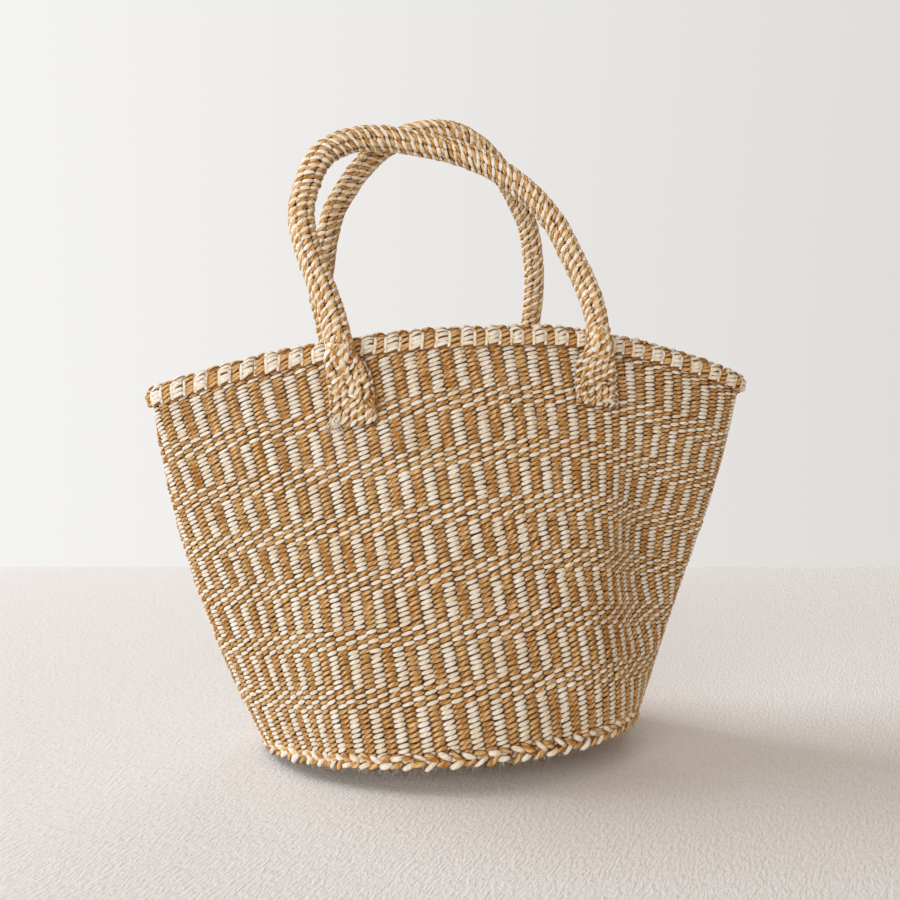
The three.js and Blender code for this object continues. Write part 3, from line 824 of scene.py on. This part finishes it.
class SISAL_OT_rim(bpy.types.Operator):
    """Bind the rim with ribbed undyed sets between tan blocks, under a twisted crest"""

    bl_idname = "sisal.rim"
    bl_label = "Rim"

    def execute(self, context):
        sizes = context.scene.twining_sizes
        rng = np.random.default_rng(sizes.seed + 2)
        cloth = rim_cloth()
        bed = add_piece("rim_bed", bed_part(cloth, WARPS * 3, 27, -0.4), "warp", "bag")
        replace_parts(bed, "rim_binding", "rim_cord")
        even, odd = np.arange(0, WARPS, 2.0)[:, None], np.arange(1, WARPS, 2.0)[:, None]
        undyed, tan = [], []

        def uneven(amount):
            return amount * rng.standard_normal(odd.shape)

        for face in (-1, 1):
            # Ribs and blocks lie across both faces; outside, a rib climbs to the right.
            run = np.linspace(-RIB_HALF, RIB_HALF, 7)
            high = 1.5 * np.cos(run / RIB_HALF * 0.9) ** 0.5
            for rib in range(4):
                u = odd + run + uneven(0.04)
                lift = 0.8 + uneven(0.3)
                v = face * (2.5 + rib * RIB_STEP) + lift * run / RIB_HALF + uneven(0.16)
                bulge = 0.4 + (1.1 + uneven(0.25)) * np.cos(run * math.pi)
                undyed.append(short_strands(cloth, u, v, bulge, 1.15, high + 0 * u, rng))
            run = np.linspace(-BLOCK_HALF, BLOCK_HALF, 7)
            high = 1.4 * np.cos(run / BLOCK_HALF) ** 0.5
            for strand in range(4):
                u = even + run
                v = face * (3.0 + strand * RIB_STEP) + 1.6 * run + uneven(0.4)
                bulge = (0.9 + uneven(0.3)) * np.cos(run / 0.56 * math.pi / 2) - 0.35
                tan.append(short_strands(cloth, u, v, bulge, 1.1, high + 0 * u, rng))
            # A side strand climbs each side of a ribbed set and tucks in under the crest.
            share = np.linspace(0, 1, 13)
            for beside in (-0.5, 0.5):
                v = face * (0.8 + 11.1 * share) + 0 * odd
                lean = 0.1 + uneven(0.07)
                sway = rng.uniform(-1, 1.2, odd.shape)
                bow = 0.05 * np.sin(share * math.pi) * np.sign(beside) * sway
                u = odd + beside + bow + face * lean * (share - 0.5) + uneven(0.05)
                out = (0.9 + uneven(0.25)) * np.sin(share * math.pi) ** 0.5 - 0.2
                undyed.append(short_strands(cloth, u, v, out, 1.0, 1.2, rng))
        crest = sizes_of(sizes, **CREST_STRAND)
        undyed.append(twined(cloth, 1, WARPS // 2, 0.0, crest, rng))
        tan.append(twined(cloth, 0, WARPS // 2, 0.0, crest, rng))
        add_piece("rim_undyed_strands", joined(undyed), "undyed", "bag")
        add_piece("rim_tan_strands", joined(tan), "tan", "bag")
        return {"FINISHED"}


# ---------- the handles and their tabs

HANDLE_LEAN = 16.0  # degrees inwards from upright
HANDLES = {
    # Roots are the middles of the two ends, and a route is x and height above the rim's peak. A
    # tab is how far its foot stands aside, its width and its length.
    "front": dict(
        side=-1,
        roots=((-84.14, -51.13, 254.52), (77.60, -50.94, 262.18)),
        radii=(8.0, 6.9),
        route=(
            (-83, 8), (-90, 29), (-97, 50), (-99.5, 70), (-96, 88), (-86, 108), (-70, 118),
            (-49, 121), (-23, 118), (2, 113), (27, 102), (48, 85), (62, 67), (71, 46), (79, 26),
            (83, 8),
        ),
        tabs=((7.5, 29.0, 38.0), (-2.5, 30.0, 34.0)),
    ),
    "back": dict(
        side=1,
        roots=((-79.97, 51.00, 255.16), (60.77, 52.51, 263.83)),
        radii=(7.3, 6.3),
        route=(
            (-79, 10), (-83, 26), (-82, 42), (-79, 65), (-75, 81), (-67, 95), (-55, 111),
            (-36, 126), (-16, 132.5), (4, 132.5), (21, 125), (35, 113), (47, 97), (59, 76),
            (65, 53), (67, 33), (66.5, 11),
        ),
        tabs=((3.0, 29.0, 36.0), (2.0, 29.0, 34.0)),
    ),
}
LINE_STEP = 1.2  # between the points of a handle's line
ROPE_WARPS, ROPE_PITCH = 7, 2.75
CORE_DEPTH, CORE_RADII, CORE_TONE = 3.6, (2.2, 2.64), 0.44  # of the rope's warps, in its skin
TAB_WARPS, TAB_PITCH = 12, 2.7
TAB_SEAT, TAB_ABOVE = 5.0, 7.0  # a root's depth below the rim, and a tab's reach above it
TAB_LEAVES = 12.0  # the depth below the rim from where a tab turns into the rope
# How far a tab's surface lies inside the rope's radius; where the tab is flat, half its thickness
# and the distance of its middle from the wall.
TAB_INSET, TAB_HALF_THICKNESS, TAB_OFF = 0.7, 1.6, 2.2
# Depths below the rim, and the share by which a tab has spread there, or is flat.
TAB_SPREADS = (6, 11, 16, 23, 38), (0, 0.22, 0.6, 0.82, 1.0)
TAB_FLATTENS = (6, 12, 20, 30), (0, 0.3, 0.8, 1.0)
ROPE_STRAND = dict(
    middle=-1.7, reach=1.3, thickness=1.25, thin=0.8, height=0.62, pinch=0.26, slant=0.68,
    uneven=1.5,
)
TAB_STRAND = dict(
    middle=-0.6, reach=1.2, thickness=1.15, thin=0.7, height=0.56, pinch=0.2, slant=0.85,
    uneven=2.4,
)


def catmull_rom(points, per_span=24):
    """A centripetal curve through points, the one that the frame's handles follow."""
    p = np.concatenate([[2 * points[0] - points[1]], points, [2 * points[-1] - points[-2]]])
    step = np.linalg.norm(np.diff(p, axis=0), axis=1) ** 0.5
    t = np.linspace(0, 1, per_span, endpoint=False)[:, None]
    curve = []
    for i in range(1, len(p) - 2):
        a, b, c = step[i - 1], step[i], step[i + 1]
        x0, x1, x2, x3 = p[i - 1 : i + 3]
        t1 = ((x1 - x0) / a - (x2 - x0) / (a + b) + (x2 - x1) / b) * b
        t2 = ((x2 - x1) / b - (x3 - x1) / (b + c) + (x3 - x2) / c) * b
        second = 3 * (x2 - x1) - 2 * t1 - t2
        third = 2 * (x1 - x2) + t1 + t2
        curve.append(x1 + t1 * t + second * t**2 + third * t**3)
    return np.concatenate(curve + [points[-1:]])


def lean_of(handle):
    """The way that a handle's plane rises from its roots."""
    return 0, -handle["side"] * math.tan(math.radians(HANDLE_LEAN)), 1


def handle_line(handle):
    """Even points from the left root to the right one, their run, and the plane's normal."""
    left, right = (np.array(root) for root in handle["roots"])
    hinge = right - left
    lean = np.array(lean_of(handle))
    points = [left]
    for x, height in handle["route"]:
        below = left + hinge * ((x + SHIFT[0] - left[0]) / hinge[0])
        points.append(below + lean * (RIM_HEIGHT + height - below[2]))
    line = catmull_rom(np.array(points + [right]))
    run = np.concatenate([[0], np.cumsum(np.linalg.norm(np.diff(line, axis=0), axis=1))])
    even = np.linspace(0, run[-1], int(run[-1] / LINE_STEP))
    line = np.stack([np.interp(even, run, line[:, k]) for k in range(3)], -1)
    return line, run[-1], unit(np.cross(hinge, lean))


def rope_cloth(handle):
    """The rope's skin: u counts its warps and v counts rows from the left root to the right."""
    line, run, across = handle_line(handle)
    beside = np.cross(unit(np.gradient(line, axis=0)), across)
    radius = np.linspace(*handle["radii"], len(line))[:, None, None]
    turn = np.arange(56) / 56 * 2 * math.pi
    spokes = np.cos(turn)[:, None] * across + np.sin(turn)[:, None] * beside[:, None]
    return Cloth(line[:, None] + radius * spokes, ROPE_WARPS, 0, run / ROPE_PITCH)


def last_where(holds, high):
    """The last values from 0 to `high` at which a test holds, by halving."""
    low = np.zeros_like(high)
    for _ in range(26):
        half = (low + high) / 2
        held = holds(half)
        low, high = np.where(held, half, low), np.where(held, high, half)
    return low


def angle_over(x, rise, side):
    """The angle on one side at which the outline has an x."""
    return side * last_where(
        lambda half: outline(side * half, rise)[0] > x, np.full_like(x, math.pi)
    )


def wall_at(x, depth, side, outwards):
    """The place on one side of the wall at an x and a depth below the rim."""
    top = rim_height(angle_over(x, np.ones_like(x), side))
    rise = last_where(
        lambda half: wall_point(angle_over(x, half, side), half)[..., 2] <= top - depth,
        np.ones_like(x),
    )
    return wall_point(angle_over(x, rise, side), rise, outwards)


def tab_cloth(handle, end):
    """A tube that opens out of the rope's end and flattens against the wall.

    u counts its warps, 0 at the middle of the front, and v counts rows upwards from its lower edge.
    """
    side = handle["side"]
    root, radius = np.array(handle["roots"][end]), handle["radii"][end]
    aside, width, length = handle["tabs"][end]
    line = handle_line(handle)[0]
    climb = line[:14] if end == 0 else line[::-1][:14]
    lowest = TAB_SEAT + radius + 0.3 + length
    rows = int(round((lowest - TAB_SEAT + TAB_ABOVE) / TAB_PITCH))
    depth = np.linspace(lowest, TAB_SEAT - TAB_ABOVE, rows * 2 + 1)
    spread, flat = np.interp(depth, *TAB_SPREADS), np.interp(depth, *TAB_FLATTENS)
    half_width = radius - TAB_INSET + (width / 2 - radius - 0.9) * spread
    half_thick = (radius - TAB_INSET) * (1 - flat) + TAB_HALF_THICKNESS * flat
    middle = (3.2 + radius * 1.04) * (1 - flat) + TAB_OFF * flat
    turn = np.arange(720) / 720 * 2 * math.pi
    places = []
    for i, d in enumerate(depth):
        # Round at the root, and nearly a rectangle where the tab is flat.
        square = 1 / (1 + 1.1 * flat[i])
        xi, eta = power(np.sin(turn), square), power(np.cos(turn), square)
        steps = np.hypot(
            np.diff(xi, append=xi[0]) * half_width[i], np.diff(eta, append=eta[0]) * half_thick[i]
        )
        run = np.concatenate([[0], np.cumsum(steps)])
        even = np.linspace(0, run[-1], 48, endpoint=False)
        xi = np.interp(even, run, np.append(xi, xi[0])) * half_width[i]
        eta = np.interp(even, run, np.append(eta, eta[0])) * half_thick[i]
        x = root[0] - SHIFT[0] + aside * spread[i] - side * xi
        ring = wall_at(x, np.full_like(x, max(d, TAB_SEAT)), side, middle[i] + eta) + SHIFT
        rope = max(0.0, min(1.0, (TAB_LEAVES - d) / (TAB_LEAVES - TAB_SEAT)))
        if rope > 0:
            reach = TAB_SEAT - d
            j = np.clip(reach / LINE_STEP, 0, 12)
            at = root + [0, 0, reach]
            if reach > 0:
                at = climb[int(j)] * (1 - j % 1) + climb[int(j) + 1] * (j % 1)
            way = unit(climb[3] - climb[0])
            out = np.array([0.0, side, 0.0])
            out = unit(out - way * way.dot(out))
            round_ring = at + xi[:, None] * np.cross(way, out) + eta[:, None] * out
            ring = ring * (1 - rope) + round_ring * rope
        places.append(ring)
    return Cloth(np.array(places), TAB_WARPS, 0, rows), rows


class SISAL_OT_handles(bpy.types.Operator):
    """Twine both rope handles in a spiral round seven warps, and open each end into a tab"""

    bl_idname = "sisal.handles"
    bl_label = "Handles and tabs"

    def execute(self, context):
        sizes = context.scene.twining_sizes
        rng = np.random.default_rng(sizes.seed + 3)
        for name, handle in HANDLES.items():
            cloth = rope_cloth(handle)
            pieces = add_twining(
                f"{name}_handle_{{}}_strand", cloth, 0, int(cloth.v_high * ROPE_WARPS / 2) - 1,
                lambda warp: warp / ROPE_WARPS, sizes_of(sizes, **ROPE_STRAND), rng, closed=False,
            )
            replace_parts(pieces[0], f"{name}_handle_sleeve")
            v = np.linspace(0, cloth.v_high, int(cloth.v_high * 0.8))
            mesh = hidden_warps(cloth, ROPE_WARPS, v, CORE_DEPTH, *CORE_RADII, CORE_TONE)
            pieces.append(add_piece(f"{name}_handle_warps", mesh, "warp"))
            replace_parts(pieces[-1], f"{name}_handle_core")
            for index, place in enumerate(("left", "right")):
                tab, rows = tab_cloth(handle, index)
                strands = add_twining(
                    f"{name}_{place}_tab_{{}}_strands", tab, np.arange(rows), TAB_WARPS // 2,
                    np.arange(rows) + 0.5, sizes_of(sizes, **TAB_STRAND), rng,
                )
                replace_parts(strands[0], f"{name}_{place}_tab")
                pieces += strands
            for piece in pieces:
                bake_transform(piece)
        return {"FINISHED"}


# ---------- ties and loose fibre

# Ties: handle, end (0 is left), share across the tab, millimetres above its lower edge, strand,
# loops, tails, and the frame's node.
TIES = (
    ("front", 0, 0.08, 3.5, "undyed", 3, 12, "front_left_cream_knot"),
    ("front", 0, 0.93, 12.0, "tan", 6, 6, "front_left_tan_knot"),
    ("front", 1, 0.80, 4.5, "undyed", 3, 6, "front_right_cream_knot"),
)
TIE_REACH, TIE_THICKNESS, TIE_WARP = 2.2, 0.8, 5.4  # a loop, its strand, and a tab's warp spacing
# Fuzz: how many fibres, their lowest and highest place, how far out they root, their shortest and
# longest reach, droop and radius. The edge has fibres on its face and frayed ends beneath.
WALL_FUZZ = (900, -79, 0, -1.0, 2.0, 5.5, 0.15, 0.06)
EDGE_FUZZ = (900, 0, 8, -0.2, 1.2, 3.4, 0.2, 0.07)
FRAYED_ENDS = (2400, -0.6, 1.6, -1.0, 1.0, 2.9, 0.6, 0.09)
RIM_FUZZ = (1100, -11, 11, 1.1, 1.2, 3.4, 0.1, 0.07)
# On a rope they keep some rows away from both roots, and its own last five sizes follow.
ROPE_FIBRES, ROPE_END, ROPE_FUZZ = 420, 3, (-0.4, 1.2, 3.8, 0.0, 0.06)


def loops(centre, outward, reach, thick, count, rng):
    """Small rings of strand, thrown about one place, as a tied end shows them."""
    t = np.arange(12) / 12 * 2 * math.pi
    points, faces = [], []
    for _ in range(count):
        axis = unit(outward * 0.6 + rng.standard_normal(3) * 0.7)
        first = unit(np.cross(axis, rng.standard_normal(3)))
        second = np.cross(axis, first)
        radius = reach * rng.uniform(0.75, 1.1)
        middle = centre + rng.standard_normal(3) * reach * 0.4 + outward * reach * 0.35
        spokes = np.cos(t)[:, None] * first * 1.25 + np.sin(t)[:, None] * second * 0.85
        points.append(middle + radius * spokes)
        faces.append(spokes)
    points = np.array(points)
    width = np.full(points.shape[:2], thick)
    tone = np.repeat(rng.random((count, 1)), 12, 1)
    return tubes(points, np.array(faces), width, width, tone, np.ones_like(width), closed=True)


def fuzz_on(cloth, rng, count, low, high, out, shortest, longest, droop, radius):
    """Loose fibres that root all round a cloth."""
    u, v = rng.uniform(0, cloth.turn, count), rng.uniform(low, high, count)
    roots, outward = cloth.at(u, v, out)
    reach = rng.uniform(shortest, longest, count)
    return fibres(roots, outward, reach, rng, radius, droop)


class SISAL_OT_ties(bpy.types.Operator):
    """Tie three strand ends on the front tabs, with short tails"""

    bl_idname = "sisal.ties"
    bl_label = "Ties"

    def execute(self, context):
        rng = np.random.default_rng(context.scene.twining_sizes.seed + 4)
        for name, end, across, above, kind, rings, tails, replaced in TIES:
            tab, _ = tab_cloth(HANDLES[name], end)
            width = HANDLES[name]["tabs"][end][1]
            u = np.array([(across - 0.5) * width / TIE_WARP])
            centre, outward = tab.at(u, np.array([above / TAB_PITCH]), 1.4)
            knot = loops(centre[0], outward[0], TIE_REACH, TIE_THICKNESS, rings, rng)
            roots = np.repeat(centre, tails, 0) + rng.standard_normal((tails, 3)) * 0.6
            outward = np.repeat(outward, tails, 0)
            reach = rng.uniform(3.5, 7.5, tails)
            ends = fibres(roots, outward, reach, rng, radius=0.34, droop=0.9)
            tie = f"{name}_tab_{('left', 'right')[end]}_{kind}_tie"
            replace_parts(add_piece(tie, knot, kind, "bag"), replaced)
            add_piece(f"{tie}_tails", ends, kind, "bag")
        return {"FINISHED"}


class SISAL_OT_fibre(bpy.types.Operator):
    """Raise loose fibre: a fuzz on the wall and rim, frayed ends under the edge, and rope fuzz"""

    bl_idname = "sisal.fibre"
    bl_label = "Loose fibre"

    def execute(self, context):
        rng = np.random.default_rng(context.scene.twining_sizes.seed + 5)
        wall, edge, rim = wall_cloth(), edge_cloth(), rim_cloth()
        places = (wall, WALL_FUZZ), (edge, EDGE_FUZZ), (edge, FRAYED_ENDS), (rim, RIM_FUZZ)
        fuzz = [fuzz_on(cloth, rng, *sizes) for cloth, sizes in places]
        add_piece("loose_fibre_bag", joined(fuzz), "undyed", "bag")
        for name, handle in HANDLES.items():
            rope = rope_cloth(handle)
            low, high = ROPE_END, rope.v_high - ROPE_END
            strays = fuzz_on(rope, rng, ROPE_FIBRES, low, high, *ROPE_FUZZ)
            piece = add_piece(f"{name}_handle_loose_fibre", strays, "undyed")
            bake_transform(piece)
        return {"FINISHED"}


# ---------- stage

# The camera's place in metres, its level direction, how many degrees it looks down, and its lens.
EYE, VIEW, PITCH = (-0.14539, -0.70290, 0.220), (0.1927, 0.9813, 0), 2.24
LENS, SENSOR = 43.44, 36
FLOOR_SIZE, FLOOR_REACH = 6, 1.492  # the floor's side, and how far from the camera it ends
LIT_HEIGHT = 0.15  # what the lamps point at, over the origin
LAMPS = (  # name, place, size, power and colour
    ("window_behind_left", (-3.2, 1.9, 2.8), 3.2, 146, (0.96, 0.98, 1)),
    ("room_front_left", (-1.7, -2.4, 0.5), 2.2, 64, (1, 1, 1)),
    ("wall_bounce_behind", (1.0, 2.5, 0.9), 1.6, 20, (1, 1, 1)),
)
ROOM_NEAR, ROOM_FAR, ROOM_STRENGTH = (1, 0.91, 0.82, 1), (1, 0.72, 0.46, 1), 0.42


class SISAL_OT_stage(bpy.types.Operator):
    """Set the pale floor, the soft studio light and the camera at the photograph's angle"""

    bl_idname = "sisal.stage"
    bl_label = "Stage and camera"

    def execute(self, context):
        scene = context.scene
        studio = scene.studio_settings
        view, eye = Vector(VIEW).normalized(), Vector(EYE)

        bpy.ops.object.select_all(action="DESELECT")
        bpy.ops.mesh.primitive_plane_add(size=FLOOR_SIZE)
        floor = context.object
        floor.name = "floor"
        aside = Vector((view.y, -view.x, 0))
        far = Vector((eye.x, eye.y, 0)) + view * FLOOR_REACH
        for vertex in floor.data.vertices:
            vertex.co = far + aside * vertex.co.x + view * (vertex.co.y - FLOOR_SIZE / 2)
        material, tree = blank_material("pale cotton cloth, plain")
        # The cloth's slubs are drawn about 2 mm by 6 mm, four times real ones, so that they show.
        where = node(tree, "TexCoord")
        bias = node(
            tree, "VectorRotate",
            {"Vector": where.outputs["Object"], "Angle": math.radians(-55)}, rotation_type="Z_AXIS",
        )
        slubs = node(tree, "VectorMath", {0: bias, 1: (190.0, 480.0, 480.0)}, operation="MULTIPLY")
        grain = node(
            tree, "TexNoise", {"Vector": slubs, "Scale": 1.0, "Detail": 3.0, "Roughness": 0.7}
        )
        bump = node(tree, "Bump", {"Height": grain, "Strength": 0.8, "Distance": 0.002})
        thread = node(tree, "MapRange", {"Value": grain, "From Min": 0.38, "From Max": 0.55})
        shade = tuple(0.92 * part for part in studio.floor)
        cloth = node(
            tree, "Mix",
            {"Factor": thread, "A": (*shade, 1), "B": (*studio.floor, 1)},
            data_type="RGBA",
        )
        shader = node(
            tree, "BsdfPrincipled",
            {"Base Color": cloth.outputs["Result"], "Normal": bump,
             "Roughness": 0.95, "Specular IOR Level": 0.1},
        )
        node(tree, "OutputMaterial", {0: shader})
        floor.data.materials.append(material)

        # The camera sees the pale wall, darker away from the window. All else is lit by the room's
        # own light, which is paler on the window side and warm on the far side.
        world = bpy.data.worlds.new("studio")
        scene.world = world
        world.use_nodes = True
        world.node_tree.nodes.clear()
        tree = world.node_tree
        path = node(tree, "LightPath")
        seen = node(
            tree, "Math", {0: path.outputs["Is Camera Ray"], 1: path.outputs["Is Glossy Ray"]},
            operation="MAXIMUM",
        )
        sky = node(tree, "SeparateXYZ", {0: node(tree, "TexCoord").outputs["Generated"]})
        shades = []
        for near, far_side, low, high, strength in (
            ((*studio.wall_lit, 1), (*studio.wall_far, 1), -0.2, 0.6, 1.0),
            (ROOM_NEAR, ROOM_FAR, -0.6, 0.8, ROOM_STRENGTH),
        ):
            share = node(tree, "MapRange", {"Value": sky, "From Min": low, "From Max": high})
            mixed = node(tree, "Mix", {"Factor": share, "A": near, "B": far_side}, data_type="RGBA")
            links = {"Color": mixed.outputs["Result"], "Strength": strength}
            shades.append(node(tree, "Background", links))
        both = node(tree, "MixShader", {0: seen, 1: shades[1], 2: shades[0]})
        node(tree, "OutputWorld", {0: both})

        for name, place, size, energy, light_colour in LAMPS:
            bpy.ops.object.light_add(type="AREA", location=place)
            lamp = context.object
            lamp.name = name
            lamp.data.size = size
            lamp.data.energy = energy
            lamp.data.color = light_colour
            lamp.visible_camera = False
            to_bag = Vector((0, 0, LIT_HEIGHT)) - Vector(place)
            lamp.rotation_euler = to_bag.to_track_quat("-Z", "Y").to_euler()

        bpy.ops.object.camera_add(location=eye)
        camera = context.object
        aim = Vector((view.x, view.y, -math.tan(math.radians(PITCH))))
        camera.rotation_euler = aim.to_track_quat("-Z", "Y").to_euler()
        camera.data.sensor_width = SENSOR
        camera.data.lens = LENS
        camera.data.clip_start = 0.02
        scene.camera = camera
        scene.view_settings.view_transform = "Standard"
        return {"FINISHED"}


# ---------- panel and registration


class SISAL_PT_panel(bpy.types.Panel):
    """Lists the bag's operators with their sizes and colours"""

    bl_idname = "SISAL_PT_panel"
    bl_label = "Sisal bag"
    bl_space_type = "VIEW_3D"
    bl_region_type = "UI"
    bl_category = "Sisal bag"

    def draw(self, context):
        for operator in OPERATORS:
            self.layout.operator(operator.bl_idname)
        for name in GROUPS:
            group = getattr(context.scene, name)
            box = self.layout.box()
            for prop in group.bl_rna.properties:
                if prop.identifier not in {"rna_type", "name"}:
                    box.prop(group, prop.identifier)


GROUPS = {
    "sisal_colours": SisalColours,
    "twining_sizes": TwiningSizes,
    "studio_settings": StudioSettings,
}
OPERATORS = (
    SISAL_OT_wall, SISAL_OT_base, SISAL_OT_rim, SISAL_OT_handles, SISAL_OT_ties, SISAL_OT_fibre,
    SISAL_OT_stage,
)


def register():
    for group in GROUPS.values():
        bpy.utils.register_class(group)
    for name, group in GROUPS.items():
        setattr(bpy.types.Scene, name, PointerProperty(type=group))
    for shown in (*OPERATORS, SISAL_PT_panel):
        bpy.utils.register_class(shown)


def unregister():
    for shown in reversed((*OPERATORS, SISAL_PT_panel)):
        bpy.utils.unregister_class(shown)
    for name, group in GROUPS.items():
        delattr(bpy.types.Scene, name)
        bpy.utils.unregister_class(group)


def main():
    register()
    for operator in OPERATORS:
        section, name = operator.bl_idname.split(".")
        getattr(getattr(bpy.ops, section), name)()


if __name__ == "__main__":
    main()
